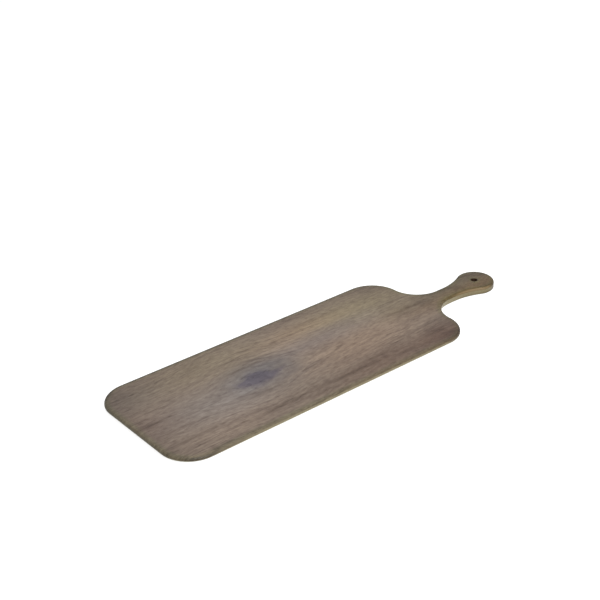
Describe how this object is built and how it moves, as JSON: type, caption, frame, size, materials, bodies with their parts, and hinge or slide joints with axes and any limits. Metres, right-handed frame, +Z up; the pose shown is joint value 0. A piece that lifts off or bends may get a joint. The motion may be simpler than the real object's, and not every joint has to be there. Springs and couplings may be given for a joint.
{
  "type": "paddle serving board",
  "caption": "Long moulded paddle serving board with rounded corners, a wood-grain face, a waisted handle with a hang hole, and non-slip feet beneath.",
  "frame": {"origin": "centre of the board's length and width, on the plane that its feet stand on", "axes": "+X along the board towards the handle, +Y across the board, +Z up out of the wood-grain face"},
  "size_m": [0.53, 0.172, 0.0102],
  "materials": {
    "moulded_board": "beige brown moulded melamine, satin, with a faint flow mottle",
    "wood_grain_face": "printed greyish brown wood grain under a satin melamine glaze",
    "foot": "dark grey silicone rubber, matte"
  },
  "bodies": {
    "root": {"moulded_board": "moulded_board", "wood_grain_face": "wood_grain_face", "toe_left_foot": "foot", "toe_right_foot": "foot", "handle_left_foot": "foot", "handle_right_foot": "foot"}
  },
  "joints": []
}
